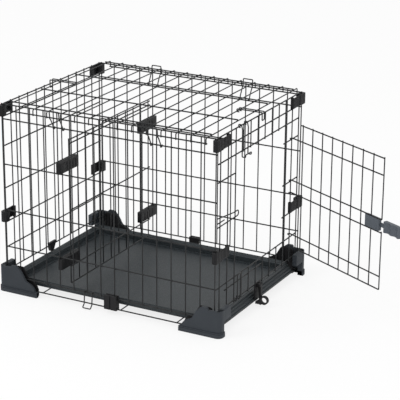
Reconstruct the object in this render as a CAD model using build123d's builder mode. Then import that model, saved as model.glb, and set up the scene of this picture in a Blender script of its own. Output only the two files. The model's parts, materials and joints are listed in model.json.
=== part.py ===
from build123d import *
import math
import os

os.makedirs("parts", exist_ok=True)

# wire sizes and clearances
wire_d = 3.0
rail_d = 3.4
hook_d = 3.0
weld_gap = 0.05
fit_gap = 0.4
slide_gap = 0.35
wire_r = wire_d / 2
rail_r = rail_d / 2
hook_r = hook_d / 2
cross_step = wire_r + rail_r + weld_gap

# upright wires of the long walls and of the end walls
front_count = 16
front_pitch = 39.0
side_count = 12
side_pitch = 38.5
corner_gap = 18.5
side_step = 2.0
rail_over = 3.0
half_depth = (side_count - 1) / 2 * side_pitch + corner_gap
side_x = (front_count - 1) / 2 * front_pitch + side_step

# heights of the level wires
top_z = 486.7
hook_rail_drop = 37.7
hook_rail_z = top_z - hook_rail_drop
clip_rail_z = 214.0
mid_rail_z = 333.0
front_rails = [39.0, 117.5, clip_rail_z, mid_rail_z, hook_rail_z, top_z]
side_rails = [55.0, 116.0, 182.0, 271.0, 380.0, 455.0, top_z]
header_z = 422.7
sill_z = 115.0
brace_z = 99.0
foot_rail_z = 55.0
part_rails = [182.0, 266.5, 376.5]
keeper_heights = [267.7, 278.0, 290.7]
keeper_drop = 9.7
upper_rail_z = 377.7
door_first = 2
door_last = 9


def front_x(k):
    return (k - (front_count - 1) / 2) * front_pitch


def side_y(i):
    return (i - (side_count - 1) / 2) * side_pitch


def bend_wire(points, radius, dia):
    with BuildLine() as line:
        run = FilletPolyline(*points, radius=radius)
    with BuildSketch(Plane(origin=run @ 0, z_dir=run % 0)) as disc:
        Circle(dia / 2)
    sweep(disc.sketch, path=line.wires()[0])


def upright(x, y, z0, z1, dia):
    with BuildSketch(Plane.XY.offset(z0)) as disc:
        with Locations((x, y)):
            Circle(dia / 2)
    extrude(disc.sketch, amount=z1 - z0)


def rail_along_y(y0, y1, x, z, dia):
    with BuildSketch(Plane.XZ.offset(-y1)) as disc:
        with Locations((x, z)):
            Circle(dia / 2)
    extrude(disc.sketch, amount=y1 - y0)


# long walls: uprights outside, level wires inside
def long_wall(name, sy):
    plane_y = sy * half_depth
    rail_y = plane_y - sy * cross_step
    span = (front_count - 1) * front_pitch
    low = front_rails[0] - rail_r
    with BuildPart() as wall:
        with BuildSketch(Plane.XY.offset(low)):
            with Locations((0, plane_y)):
                with GridLocations(front_pitch, 1, front_count, 1):
                    Circle(wire_r)
        extrude(amount=top_z + rail_r - low)
        with BuildSketch(Plane.YZ.offset(-span / 2 - rail_over)):
            with Locations(*[(rail_y, z) for z in front_rails]):
                Circle(rail_r)
        extrude(amount=span + 2 * rail_over)
    wall.part.label = name
    export_step(wall.part, "parts/" + name + ".step")


long_wall("front_panel", -1)
long_wall("back_panel", 1)

# end walls: level wires inside the uprights, ends short of the corners
side_low = foot_rail_z - 3.0
side_reach = (side_count - 1) / 2 * side_pitch + 5.5
left_count = 13
left_corner = 4.0
left_pitch = 2 * (half_depth - left_corner) / (left_count - 1)
left_step = 3.5
left_x = -side_x - left_step
left_rail_x = left_x + cross_step
right_rail_x = side_x - cross_step

with BuildPart() as left_panel:
    with BuildSketch(Plane.XY.offset(side_low)):
        with Locations((left_x, 0)):
            with GridLocations(1, left_pitch, 1, left_count):
                Circle(wire_r)
    extrude(amount=top_z + rail_r - side_low)
    left_reach = half_depth - cross_step - rail_r - fit_gap - 1.0
    for rail_z in side_rails:
        rail_along_y(-left_reach, left_reach, left_rail_x, rail_z, rail_d)
left_panel.part.label = "left_panel"
export_step(left_panel.part, "parts/left_panel.step")

# end wall with the doorway, its keeper loop and the short brace
jamb_front_y = side_y(door_first)
jamb_back_y = side_y(door_last)
keeper_bend = 10.0
keeper_end_y = side_y(0) + 101.5
brace_end_y = side_y(6)

with BuildPart() as right_panel:
    for i in range(side_count):
        if door_first < i < door_last:
            upright(side_x, side_y(i), side_low, sill_z + rail_r, wire_d)
            upright(side_x, side_y(i), header_z - rail_r, top_z + rail_r, wire_d)
        else:
            upright(side_x, side_y(i), side_low, top_z + rail_r, wire_d)
    for rail_z in [foot_rail_z, sill_z, header_z, 455.0, top_z]:
        rail_along_y(-side_reach, side_reach, right_rail_x, rail_z, rail_d)
    for rail_z in part_rails:
        rail_along_y(jamb_back_y - wire_r, side_reach, right_rail_x, rail_z, rail_d)
    rail_along_y(-side_reach, jamb_front_y + wire_r, right_rail_x, upper_rail_z, rail_d)
    rail_along_y(side_y(1) - 6.0, brace_end_y, right_rail_x, brace_z, rail_d)
    rail_along_y(-side_reach, side_y(1) - 10.0, right_rail_x, keeper_heights[1], wire_d)
    keeper_mid_y = jamb_front_y
    bend_wire(
        [
            (right_rail_x, -side_reach, keeper_heights[2]),
            (right_rail_x, keeper_mid_y, keeper_heights[2] - keeper_drop),
            (right_rail_x, keeper_end_y, keeper_heights[2] - keeper_drop),
            (right_rail_x, keeper_end_y, keeper_heights[0]),
            (right_rail_x, -side_reach, keeper_heights[0]),
        ],
        6.0,
        wire_d,
    )
right_panel.part.label = "right_panel"
export_step(right_panel.part, "parts/right_panel.step")

# roof: wires along the depth with both ends bent down to a lip wire
lip_drop = 10.2
lip_z = top_z - lip_drop
roof_over = 14.0
roof_bend = 4.0
roof_end_over = 1.0
roof_y_z = top_z + rail_r + wire_r + slide_gap
roof_x_z = roof_y_z + cross_step
roof_count = front_count - 1
roof_leg_y = half_depth + roof_over
lip_y = roof_leg_y - cross_step
roof_rail_ys = [-half_depth + 10.5, -half_depth + 143.0, -half_depth + 302.0, half_depth - 10.5]


def roof_x(k):
    return (k - (roof_count - 1) / 2) * front_pitch


with BuildPart() as roof_panel:
    for k in range(roof_count):
        x = roof_x(k)
        bend_wire(
            [
                (x, -roof_leg_y, lip_z - rail_r),
                (x, -roof_leg_y, roof_y_z),
                (x, roof_leg_y, roof_y_z),
                (x, roof_leg_y, lip_z - rail_r),
            ],
            roof_bend,
            wire_d,
        )
    lip_span = (roof_count - 1) * front_pitch + 2 * wire_r
    with BuildSketch(Plane.YZ.offset(-lip_span / 2)):
        with Locations((-lip_y, lip_z), (lip_y, lip_z)):
            Circle(rail_r)
    extrude(amount=lip_span)
    with BuildSketch(Plane.YZ.offset(-lip_span / 2)):
        with Locations(*[(y, roof_x_z) for y in roof_rail_ys]):
            Circle(rail_r)
    extrude(amount=lip_span)
roof_panel.part.label = "roof_panel"
export_step(roof_panel.part, "parts/roof_panel.step")

# floor frame: front and back wires joined by side and cross wires
frame_z = 12.5
frame_in = 2.0
frame_x = side_x - 2.5
frame_y = half_depth - frame_in
cross_xs = [-190.0, 34.0, 190.0]

with BuildPart() as floor_frame:
    with BuildSketch(Plane.YZ.offset(-frame_x - rail_r)):
        with Locations((-frame_y, frame_z), (frame_y, frame_z)):
            Circle(rail_r)
    extrude(amount=2 * (frame_x + rail_r))
    reach = frame_y - rail_r - weld_gap
    for x in (-frame_x, frame_x):
        rail_along_y(-reach, reach, x, frame_z, rail_d)
    for x in cross_xs:
        rail_along_y(-reach, reach, x, frame_z, wire_d)
floor_frame.part.label = "floor_frame"
export_step(floor_frame.part, "parts/floor_frame.step")

# divider beside the fifth upright of the long walls
divider_upright = 4
divider_step = 7.5
divider_x = front_x(divider_upright) + divider_step
divider_count = 11
divider_rails = [41.5, 86.0, 232.5, 403.0, 413.0]
divider_rail_x = divider_x + cross_step


def divider_y(i):
    return (i - (divider_count - 1) / 2) * side_pitch


with BuildPart() as divider_panel:
    with BuildSketch(Plane.XY.offset(divider_rails[0] - rail_r)):
        with Locations((divider_x, 0)):
            with GridLocations(1, side_pitch, 1, divider_count):
                Circle(wire_r)
    extrude(amount=divider_rails[-1] - divider_rails[0] + 2 * rail_r)
    for rail_z in divider_rails:
        end_y = divider_y(divider_count - 1) + 3.0
        rail_along_y(-end_y, end_y, divider_rail_x, rail_z, rail_d)
divider_panel.part.label = "divider_panel"
export_step(divider_panel.part, "parts/divider_panel.step")

# divider clips: two-piece bars that grip one upright of the wall and two of the divider
divider_clip_h = 27.0
divider_clip_w = 13.0
divider_clip_end = 8.0
divider_clip_tail = 5.5
clip_seam_w = 1.0
clip_seam_d = 0.8


def divider_clip(name, sy, z0):
    wall_y = -half_depth
    far_y = divider_y(1) + divider_clip_tail
    near_y = wall_y - divider_clip_end
    mid_y = (near_y + far_y) / 2
    body_x = (front_x(divider_upright) + divider_x) / 2 - 0.3
    with BuildPart() as clip:
        with BuildSketch(Plane.XY.offset(z0)):
            with Locations((body_x, sy * mid_y)):
                SlotOverall(far_y - near_y, divider_clip_w, rotation=90)
            with Locations((front_x(divider_upright), sy * wall_y)):
                Circle(wire_r + fit_gap, mode=Mode.SUBTRACT)
            with Locations((divider_x, sy * divider_y(0)), (divider_x, sy * divider_y(1))):
                Circle(wire_r + fit_gap, mode=Mode.SUBTRACT)
        extrude(amount=divider_clip_h)
        with BuildSketch(Plane.XY.offset(z0)):
            with Locations((body_x, sy * mid_y)):
                Rectangle(clip_seam_w, far_y - near_y + 2)
        extrude(amount=clip_seam_d, mode=Mode.SUBTRACT)
        with BuildSketch(Plane.XY.offset(z0 + divider_clip_h - clip_seam_d)):
            with Locations((body_x, sy * mid_y)):
                Rectangle(clip_seam_w, far_y - near_y + 2)
        extrude(amount=clip_seam_d, mode=Mode.SUBTRACT)
    clip.part.label = name
    export_step(clip.part, "parts/" + name + ".step")


divider_clip_low = divider_rails[1] + rail_r + slide_gap
divider_clip_high = mid_rail_z + rail_r + slide_gap
divider_clip("divider_clip_front_low", 1, divider_clip_low)
divider_clip("divider_clip_front_high", 1, divider_clip_high)
divider_clip("divider_clip_back_low", -1, divider_clip_low)
divider_clip("divider_clip_back_high", -1, divider_clip_high)

# corner clips: barrel round the corner wires and a plate to the second upright
corner_clip_h = 27.0
corner_barrel_w = 14.0
corner_barrel_end = 9.0
corner_barrel_in = 6.5
corner_plate_t = 2.6
corner_grip_w = 9.0
corner_high_z = top_z - rail_r - slide_gap - corner_clip_h
corner_low_z = clip_rail_z - rail_r - slide_gap - corner_clip_h


def corner_clip(name, sx, sy, z0):
    wall_y = -half_depth
    first_y = side_y(0) if sx > 0 else -half_depth + left_corner
    second_y = side_y(1) if sx > 0 else first_y + left_pitch
    wire_x = side_x if sx > 0 else -left_x
    near_y = wall_y - corner_barrel_end
    far_y = first_y + corner_barrel_in
    corner_x = side_x - side_step
    barrel_x = (corner_x + wire_x) / 2
    barrel_w = corner_barrel_w + wire_x - side_x
    plate_x = wire_x + wire_r + fit_gap + corner_plate_t / 2
    plate_end = second_y + corner_grip_w / 2
    with BuildPart() as clip:
        with BuildSketch(Plane.XY.offset(z0)):
            with Locations((sx * barrel_x, sy * (near_y + far_y) / 2)):
                RectangleRounded(barrel_w, far_y - near_y, barrel_w * 0.42)
            with Locations((sx * plate_x, sy * (first_y + plate_end) / 2)):
                Rectangle(corner_plate_t, plate_end - first_y)
            with Locations((sx * wire_x, sy * second_y)):
                RectangleRounded(corner_grip_w, corner_grip_w, 3.0)
            with Locations((sx * corner_x, sy * wall_y)):
                Circle(wire_r + fit_gap, mode=Mode.SUBTRACT)
            with Locations((sx * wire_x, sy * first_y), (sx * wire_x, sy * second_y)):
                Circle(wire_r + fit_gap, mode=Mode.SUBTRACT)
        extrude(amount=corner_clip_h)
    clip.part.label = name
    export_step(clip.part, "parts/" + name + ".step")


for side_name, sx in (("left", -1), ("right", 1)):
    for wall_name, sy in (("front", 1), ("back", -1)):
        corner_clip("corner_clip_" + wall_name + "_" + side_name + "_high", sx, sy, corner_high_z)
        corner_clip("corner_clip_" + wall_name + "_" + side_name + "_low", sx, sy, corner_low_z)

# feet: long wall with a sloping shoulder, side return, stepped base and ribbed inner wall
foot_len = 112.0
foot_out_x = side_x + 18.5
foot_out_y = half_depth + 9.0
foot_corner_in = 14.0
foot_wall_gap = 0.7
foot_corner_x = -left_x + wire_r + foot_wall_gap
foot_in_y = half_depth + wire_r + foot_wall_gap
foot_top = 67.0
foot_corner = 12.0
foot_base_h = 13.0
foot_flare = 2.5
foot_groove_z = 10.0
foot_groove_h = 1.2
foot_groove_d = 1.2
foot_knob_x = side_x - 24.0
foot_knob_w = 15.0
foot_knob_top = 73.0
foot_return_y = 55.0
foot_return_t = foot_out_x - foot_corner_x
foot_inner_gap = 0.65
foot_inner_t = 3.0
foot_inner_h = 44.0
foot_rib_w = 2.0
foot_rib_d = 1.6
foot_rib_count = 8
foot_web_h = frame_z - rail_r - 0.3
tray_rim_z = 36.0
foot_return_z = tray_rim_z + 1.4


def foot(name, sx, sy):
    inner_x = foot_out_x - foot_len
    knob_in = foot_knob_x - foot_knob_w / 2
    knob_out = foot_knob_x + foot_knob_w / 2
    slope = [
        (inner_x + 0.36 * (knob_in - inner_x), foot_base_h + 0.22 * (foot_knob_top - foot_base_h)),
        (inner_x + 0.68 * (knob_in - inner_x), foot_base_h + 0.57 * (foot_knob_top - foot_base_h)),
    ]
    shade = Plane(origin=(0, 0, 0), x_dir=(sx, 0, 0), z_dir=(0, sx, 0))
    with BuildPart() as block:
        with BuildSketch():
            with BuildLine():
                Polyline(
                    (sx * inner_x, sy * foot_in_y),
                    (sx * inner_x, sy * foot_out_y),
                    (sx * foot_out_x, sy * foot_out_y),
                    (sx * foot_out_x, sy * (foot_in_y - foot_corner_in)),
                    (sx * foot_corner_x, sy * (foot_in_y - foot_corner_in)),
                    (sx * foot_corner_x, sy * foot_in_y),
                    (sx * inner_x, sy * foot_in_y),
                )
            make_face()
            outer = block_corner(sx, sy)
            fillet(outer, radius=foot_corner)
        extrude(amount=foot_knob_top)
        with BuildSketch(Plane(origin=(0, 0, 0), x_dir=(1, 0, 0), z_dir=(0, -1, 0))):
            with BuildLine():
                Polyline(
                    (sx * (inner_x + 4.0), foot_base_h),
                    (sx * inner_x, foot_base_h),
                    (sx * inner_x, 0),
                    (sx * foot_out_x, 0),
                    (sx * foot_out_x, foot_top),
                    (sx * knob_out, foot_top),
                    (sx * knob_out, foot_knob_top),
                    (sx * knob_in, foot_knob_top),
                )
                Spline(
                    (sx * knob_in, foot_knob_top),
                    (sx * slope[1][0], slope[1][1]),
                    (sx * slope[0][0], slope[0][1]),
                    (sx * (inner_x + 4.0), foot_base_h),
                )
            make_face()
        extrude(amount=foot_out_y + 5.0, both=True, mode=Mode.INTERSECT)
        # stepped base
        with BuildSketch():
            with BuildLine():
                Polyline(
                    (sx * inner_x, sy * foot_in_y),
                    (sx * inner_x, sy * (foot_out_y + foot_flare)),
                    (sx * (foot_out_x + foot_flare), sy * (foot_out_y + foot_flare)),
                    (sx * (foot_out_x + foot_flare), sy * (foot_in_y - foot_corner_in)),
                    (sx * foot_corner_x, sy * (foot_in_y - foot_corner_in)),
                    (sx * foot_corner_x, sy * foot_in_y),
                    (sx * inner_x, sy * foot_in_y),
                )
            make_face()
            far = block_corner(sx, sy)
            fillet(far, radius=foot_corner + foot_flare)
        extrude(amount=foot_base_h)
        # shallow groove round the base
        with BuildSketch(Plane.XY.offset(foot_groove_z)):
            with Locations((sx * (inner_x + foot_out_x) / 2, sy * (foot_out_y + foot_flare))):
                Rectangle(foot_len + 4 * foot_flare, 2 * foot_groove_d)
        extrude(amount=foot_groove_h, mode=Mode.SUBTRACT)
        # side return above the way of the tray
        with BuildSketch(Plane.XY.offset(foot_return_z)):
            return_y = foot_out_y - foot_return_y / 2
            with Locations((sx * (foot_out_x - foot_return_t / 2), sy * return_y)):
                Rectangle(foot_return_t, foot_return_y)
            far = block_corner(sx, sy)
            fillet(far, radius=foot_return_t - 0.5)
        extrude(amount=foot_top - foot_return_z)
        # web under the floor wire and ribbed inner wall
        wall_out = half_depth - cross_step - rail_r - foot_inner_gap
        wall_in = wall_out - foot_inner_t
        rib_run = frame_x - rail_r - 6.0 - (inner_x + 5.0)
        wall_mid_x = inner_x + 5.0 + rib_run / 2
        with BuildSketch():
            with Locations((sx * wall_mid_x, sy * (foot_in_y + 1.0 + wall_in) / 2)):
                Rectangle(rib_run, foot_in_y + 1.0 - wall_in)
        extrude(amount=foot_web_h)
        with BuildSketch():
            with Locations((sx * wall_mid_x, sy * (wall_out + wall_in) / 2)):
                Rectangle(rib_run, foot_inner_t)
            with Locations((sx * wall_mid_x, sy * (wall_in - foot_rib_d / 2))):
                with GridLocations(rib_run / foot_rib_count, 1, foot_rib_count, 1):
                    Rectangle(foot_rib_w, foot_rib_d + 0.4)
        extrude(amount=foot_inner_h)
    block.part.label = name
    export_step(block.part, "parts/" + name + ".step")


def block_corner(sx, sy):
    sketch = BuildSketch._get_context()
    points = sketch.vertices()
    return max(points, key=lambda v: sx * v.X + sy * v.Y)


for side_name, sx in (("left", -1), ("right", 1)):
    for wall_name, sy in (("front", -1), ("back", 1)):
        foot("foot_" + wall_name + "_" + side_name, sx, sy)

# tray: rim ledge, pan, outer skirt and a stepped apron at the pull end
tray_floor_z = frame_z + rail_r + 0.3
tray_floor_t = 1.6
tray_wall_t = 2.0
tray_ledge = 12.0
tray_ledge_drop = 6.6
tray_skirt_z = 21.0
tray_side_gap = 22.0
tray_half_w = half_depth - tray_side_gap
tray_left_x = -side_x - 2.5
tray_right_x = side_x + 2.5
tray_ridge_x = side_x - 16.0
tray_corner = 14.0
tray_step_w = 10.0
tray_step_h = 1.0
tray_len = tray_ridge_x - tray_left_x
tray_mid_x = (tray_ridge_x + tray_left_x) / 2

with BuildPart() as tray:
    with BuildSketch(Plane.XY.offset(tray_skirt_z)):
        with Locations((tray_mid_x, 0)):
            RectangleRounded(tray_len, 2 * tray_half_w, tray_corner)
    extrude(amount=tray_rim_z - tray_skirt_z)
    with BuildSketch(Plane.XY.offset(tray_skirt_z)):
        with Locations((tray_mid_x, 0)):
            RectangleRounded(tray_len - 2 * tray_wall_t, 2 * (tray_half_w - tray_wall_t), tray_corner - tray_wall_t)
    extrude(amount=tray_rim_z - tray_skirt_z - tray_wall_t - tray_ledge_drop, mode=Mode.SUBTRACT)
    pan_in = tray_ledge - tray_wall_t
    with BuildSketch(Plane.XY.offset(tray_floor_z)):
        with Locations((tray_mid_x, 0)):
            RectangleRounded(tray_len - 2 * pan_in, 2 * (tray_half_w - pan_in), tray_corner)
    extrude(amount=tray_rim_z - tray_floor_z - 1.0)
    with BuildSketch(Plane.XY.offset(tray_rim_z - tray_ledge_drop)):
        with Locations((tray_mid_x, 0)):
            RectangleRounded(tray_len - 2 * tray_ledge, 2 * (tray_half_w - tray_ledge), tray_corner)
    with BuildSketch(Plane.XY.offset(tray_rim_z + 0.1)):
        with Locations((tray_mid_x, 0)):
            RectangleRounded(tray_len - 2 * tray_wall_t, 2 * (tray_half_w - tray_wall_t), tray_corner)
    loft(mode=Mode.SUBTRACT)
    with BuildSketch(Plane.XY.offset(tray_floor_z + tray_floor_t + tray_step_h)):
        with Locations((tray_mid_x, 0)):
            RectangleRounded(tray_len - 2 * tray_ledge, 2 * (tray_half_w - tray_ledge), tray_corner)
    extrude(amount=tray_rim_z - tray_floor_z, mode=Mode.SUBTRACT)
    floor_in = tray_ledge + tray_step_w
    with BuildSketch(Plane.XY.offset(tray_floor_z + tray_floor_t)):
        with Locations((tray_mid_x, 0)):
            RectangleRounded(tray_len - 2 * floor_in, 2 * (tray_half_w - floor_in), tray_corner)
    extrude(amount=tray_rim_z, mode=Mode.SUBTRACT)
    # stepped apron outside the ridge
    apron_half = tray_half_w - tray_corner
    apron_low = tray_floor_z + 3.0
    apron_run = tray_right_x - tray_ridge_x
    steps = 3
    with BuildSketch(Plane.XZ.offset(-apron_half)):
        with BuildLine():
            corners = [(tray_ridge_x - 0.5, tray_rim_z - 0.5)]
            for n in range(steps):
                level = tray_rim_z - 0.5 - (n + 1) * (tray_rim_z - apron_low - 3.0) / steps
                before = tray_rim_z - 0.5 - n * (tray_rim_z - apron_low - 3.0) / steps
                along = tray_ridge_x + (n + 1) * apron_run / (steps + 1)
                corners.append((along, before))
                corners.append((along + 1.0, level))
            corners.append((tray_right_x, level))
            corners.append((tray_right_x, apron_low))
            corners.append((tray_right_x - 4.0, apron_low))
            corners.append((tray_ridge_x - 0.5, tray_rim_z - 8.0))
            corners.append(corners[0])
            Polyline(*corners)
        make_face()
    extrude(amount=2 * apron_half)
tray.part.label = "tray"
export_step(tray.part, "parts/tray.step")

# plate on the apron end that carries the ring latch
latch_y = -14.0
plate_w = 32.0
plate_t = 3.0
plate_low = apron_low
plate_high = 63.0
ear_w = 4.0
ear_run = 9.0
lever_w = 8.0
pin_r = 1.8
pivot_x = tray_right_x + plate_t + 5.0
pivot_z = 57.0
pin_gap = 0.3

with BuildPart() as tray_latch_plate:
    with BuildSketch(Plane.YZ.offset(tray_right_x)):
        with Locations((latch_y, (plate_low + plate_high) / 2)):
            RectangleRounded(plate_w, plate_high - plate_low, 3.0)
    extrude(amount=plate_t)
    for side in (-1, 1):
        ear_y = latch_y + side * (lever_w / 2 + slide_gap + ear_w / 2)
        with BuildSketch(Plane.XZ.offset(-ear_y - ear_w / 2)):
            with Locations((tray_right_x + plate_t + ear_run / 2 - 0.5, pivot_z)):
                RectangleRounded(ear_run + 1.0, 9.0, 2.5)
        extrude(amount=ear_w)
    with BuildSketch(Plane.XZ.offset(-latch_y - lever_w / 2 - slide_gap - ear_w)):
        with Locations((pivot_x, pivot_z)):
            Circle(pin_r)
    extrude(amount=lever_w + 2 * slide_gap + 2 * ear_w)
tray_latch_plate.part.label = "tray_latch_plate"
export_step(tray_latch_plate.part, "parts/tray_latch_plate.step")

# ring latch: lever with a serrated claw by the floor wire and a pull ring
lever_top_r = 4.6
ring_reach = 21.0
ring_x = tray_right_x + ring_reach
ring_z = 18.0
ring_out_r = 11.0
ring_in_r = 7.6
claw_tip_x = frame_x + rail_r + 1.5
claw_low = 5.5
claw_high = apron_low - 2.0
tooth = 1.6
tooth_count = 5

with BuildPart() as tray_latch_lever:
    with BuildSketch(Plane.XZ.offset(-latch_y - lever_w / 2)):
        with Locations((pivot_x, pivot_z)):
            Circle(lever_top_r)
        arm_x = ring_x - ring_out_r + 1.0
        with BuildLine():
            Polyline(
                (pivot_x - 3.0, pivot_z),
                (pivot_x + 4.4, pivot_z),
                (arm_x + 3.0, claw_high + 6.0),
                (arm_x + 3.0, claw_low),
                (claw_tip_x, claw_low),
                (claw_tip_x, claw_high - 3.5),
                (claw_tip_x + 5.0, claw_high),
                (arm_x - 3.0, claw_high + 4.0),
                (pivot_x - 3.0, pivot_z),
            )
        make_face()
        with Locations((ring_x, ring_z)):
            Circle(ring_out_r)
            Circle(ring_in_r, mode=Mode.SUBTRACT)
        with Locations((pivot_x, pivot_z)):
            Circle(pin_r + pin_gap, mode=Mode.SUBTRACT)
        tooth_run = (arm_x - claw_tip_x) / (tooth_count + 1)
        with Locations(*[(claw_tip_x + (n + 1) * tooth_run, claw_low) for n in range(tooth_count)]):
            Rectangle(tooth, tooth, rotation=45, mode=Mode.SUBTRACT)
    extrude(amount=lever_w)
tray_latch_lever.part.label = "tray_latch_lever"
export_step(tray_latch_lever.part, "parts/tray_latch_lever.step")

# door, drawn at its open angle about one upright of the doorway wall
door_open = 62.5
hinge_i = 10
hinge_y = side_y(hinge_i)
hinge_curl_r = wire_r + fit_gap + rail_r
door_first_s = side_pitch - 2.0
door_pitch = 38.5
door_count = 9
door_rail_zs = [93.5, 126.7, 237.4, 270.5, 380.5, 422.0]
door_rail_n = hinge_curl_r
door_wire_n = hinge_curl_r + cross_step
door_far_s = door_first_s + (door_count - 1) * door_pitch
door_plane = Plane(
    origin=(side_x, hinge_y, 0),
    x_dir=(math.sin(math.radians(door_open)), -math.cos(math.radians(door_open)), 0),
    z_dir=(0, 0, 1),
)


def door_s(j):
    return door_first_s + j * door_pitch


with BuildPart() as door_panel:
    low = door_rail_zs[0] - rail_r
    high = door_rail_zs[-1] + rail_r
    with BuildSketch(door_plane.offset(low)):
        with Locations(*[(door_s(j), door_wire_n) for j in range(door_count - 1)]):
            Circle(wire_r)
    extrude(amount=high - low)
    for z0, z1 in ((door_rail_zs[0], door_rail_zs[2]), (door_rail_zs[3], door_rail_zs[-1])):
        with BuildSketch(door_plane.offset(z0 - rail_r)):
            with Locations((door_far_s, door_wire_n)):
                Circle(wire_r)
        extrude(amount=z1 - z0 + 2 * rail_r)
    across = Plane(origin=door_plane.origin, x_dir=door_plane.y_dir, z_dir=door_plane.x_dir)
    with BuildSketch(across.offset(door_first_s - 2.5)):
        with Locations((door_rail_n, door_rail_zs[0]), (door_rail_n, door_rail_zs[-1])):
            Circle(rail_r)
    extrude(amount=door_far_s - door_first_s + 5.0)
    for z in door_rail_zs[1:-1]:
        r = hinge_curl_r
        spots = [(door_far_s + 2.5, r), (-r, r), (-r, -r), (r * 0.9, -r)]
        points = [door_plane.from_local_coords((s, n, z)) for s, n in spots]
        bend_wire([tuple(p) for p in points], r * 0.97, rail_d)
door_panel.part.label = "door_panel"
export_step(door_panel.part, "parts/door_panel.step")

# door latch: a base gripping one door upright and a sliding grip with two recesses
latch_back = 19.0
latch_s0 = door_s(7) - latch_back
latch_s1 = door_far_s - 7.0
latch_n0 = 2.2
latch_n1 = 13.0
latch_z0 = door_rail_zs[2] + rail_r + slide_gap
latch_z1 = door_rail_zs[3] - rail_r - slide_gap
slot_h = 12.0
slot_n0 = 9.2
slot_n1 = 11.6
grip_len = 56.0
grip_tail = 22.0
grip_stroke = 14.0
grip_n0 = 4.2
grip_n1 = 16.0
scallop_r = 15.0
scallop_d = 4.5
latch_mid_z = (latch_z0 + latch_z1) / 2

with BuildPart() as door_latch_base:
    with BuildSketch(door_plane.offset(latch_z0)):
        with Locations(((latch_s0 + latch_s1) / 2, (latch_n0 + latch_n1) / 2)):
            RectangleRounded(latch_s1 - latch_s0, latch_n1 - latch_n0, 2.0)
        with Locations((door_s(7), door_wire_n)):
            Circle(wire_r + slide_gap, mode=Mode.SUBTRACT)
    extrude(amount=latch_z1 - latch_z0)
    with BuildSketch(door_plane.offset(latch_mid_z - slot_h / 2)):
        with Locations(((latch_s0 + latch_s1) / 2 + 1.0, (slot_n0 + slot_n1) / 2)):
            Rectangle(latch_s1 - latch_s0 - 2.0, slot_n1 - slot_n0)
    extrude(amount=slot_h, mode=Mode.SUBTRACT)
door_latch_base.part.label = "door_latch_base"
export_step(door_latch_base.part, "parts/door_latch_base.step")

with BuildPart() as door_latch_grip:
    grip_s0 = latch_s1 + grip_stroke + slide_gap
    with BuildSketch(door_plane.offset(latch_z0 + 1.0)):
        with Locations((grip_s0 + grip_len / 2, (grip_n0 + grip_n1) / 2)):
            RectangleRounded(grip_len, grip_n1 - grip_n0, 3.0)
        for spot in (0.28, 0.72):
            with Locations((grip_s0 + spot * grip_len, grip_n0 - scallop_r + scallop_d)):
                Circle(scallop_r, mode=Mode.SUBTRACT)
    extrude(amount=latch_z1 - latch_z0 - 2.0)
    with BuildSketch(door_plane.offset(latch_mid_z - slot_h / 2 + slide_gap)):
        with Locations((grip_s0 + 1.0 - grip_tail / 2, (slot_n0 + slot_n1) / 2)):
            Rectangle(grip_tail, slot_n1 - slot_n0 - 2 * slide_gap)
    extrude(amount=slot_h - 2 * slide_gap)
door_latch_grip.part.label = "door_latch_grip"
export_step(door_latch_grip.part, "parts/door_latch_grip.step")

# roof hooks: legs that curl round a wall wire, pass the lip wire and end in a finger tab
hook_half = 13.25
hook_bend = 2.2
hook_curl = rail_r + fit_gap + hook_r
hook_tab_rise = 18.0
hook_tab_lean = 2.0
hook_centre = 3.5 * front_pitch - 2.5
hook_pass = lip_y + rail_r + fit_gap + hook_r + 0.4


def roof_hook(name, x, sy):
    wall_y = half_depth - cross_step
    leg = [
        (wall_y - hook_curl, hook_rail_z + 1.5),
        (wall_y - hook_curl, hook_rail_z - hook_curl),
        (wall_y + hook_curl, hook_rail_z - hook_curl),
        (wall_y + hook_curl, hook_rail_z + 4.0),
        (lip_y - 0.75, lip_z - 5.8),
        (hook_pass, lip_z - 1.0),
        (hook_pass, lip_z + 4.0),
        (hook_pass + hook_tab_lean, lip_z + hook_tab_rise),
    ]
    points = [(x - hook_half, sy * y, z) for y, z in leg]
    points += [(x + hook_half, sy * y, z) for y, z in reversed(leg)]
    with BuildPart() as hook:
        bend_wire(points, hook_bend, hook_d)
    hook.part.label = name
    export_step(hook.part, "parts/" + name + ".step")


roof_hook("roof_hook_front_left", -hook_centre, -1)
roof_hook("roof_hook_front_right", hook_centre, -1)
roof_hook("roof_hook_back_left", -hook_centre, 1)
roof_hook("roof_hook_back_right", hook_centre, 1)

# side hooks: swing on a roof wire, lie over the last one and turn down outside the end wall
side_hook_half = 6.0
side_hook_curl = wire_r + fit_gap + hook_r
side_hook_x = roof_x(roof_count - 2)
side_hook_z = roof_y_z + side_hook_curl
side_hook_drop = 12.7
side_hook_low = top_z - side_hook_drop


def side_hook(name, sx, wall_x):
    end_x = wall_x + wire_r + fit_gap + hook_r
    run = [
        (side_hook_x + side_hook_curl - 0.6, roof_y_z - side_hook_curl),
        (side_hook_x - side_hook_curl, roof_y_z - side_hook_curl),
        (side_hook_x - side_hook_curl, side_hook_z),
        (end_x, side_hook_z),
        (end_x, side_hook_low),
    ]
    points = [(sx * x, -side_hook_half, z) for x, z in run]
    points += [(sx * x, side_hook_half, z) for x, z in reversed(run)]
    with BuildPart() as hook:
        bend_wire(points, hook_bend, hook_d)
    hook.part.label = name
    export_step(hook.part, "parts/" + name + ".step")


side_hook("side_hook_left", -1, -left_x)
side_hook("side_hook_right", 1, side_x)

# header hook: a loop that hangs from the top wire of the doorway wall
loop_half = 15.0
loop_y = side_y(3) + 2.0
loop_below_header = 10.7
loop_low = header_z - loop_below_header
loop_tip_out = 9.0
loop_tip_rise = 6.0
loop_curl = rail_r + fit_gap + hook_r
loop_x = side_x + wire_r + fit_gap + hook_r

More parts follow.
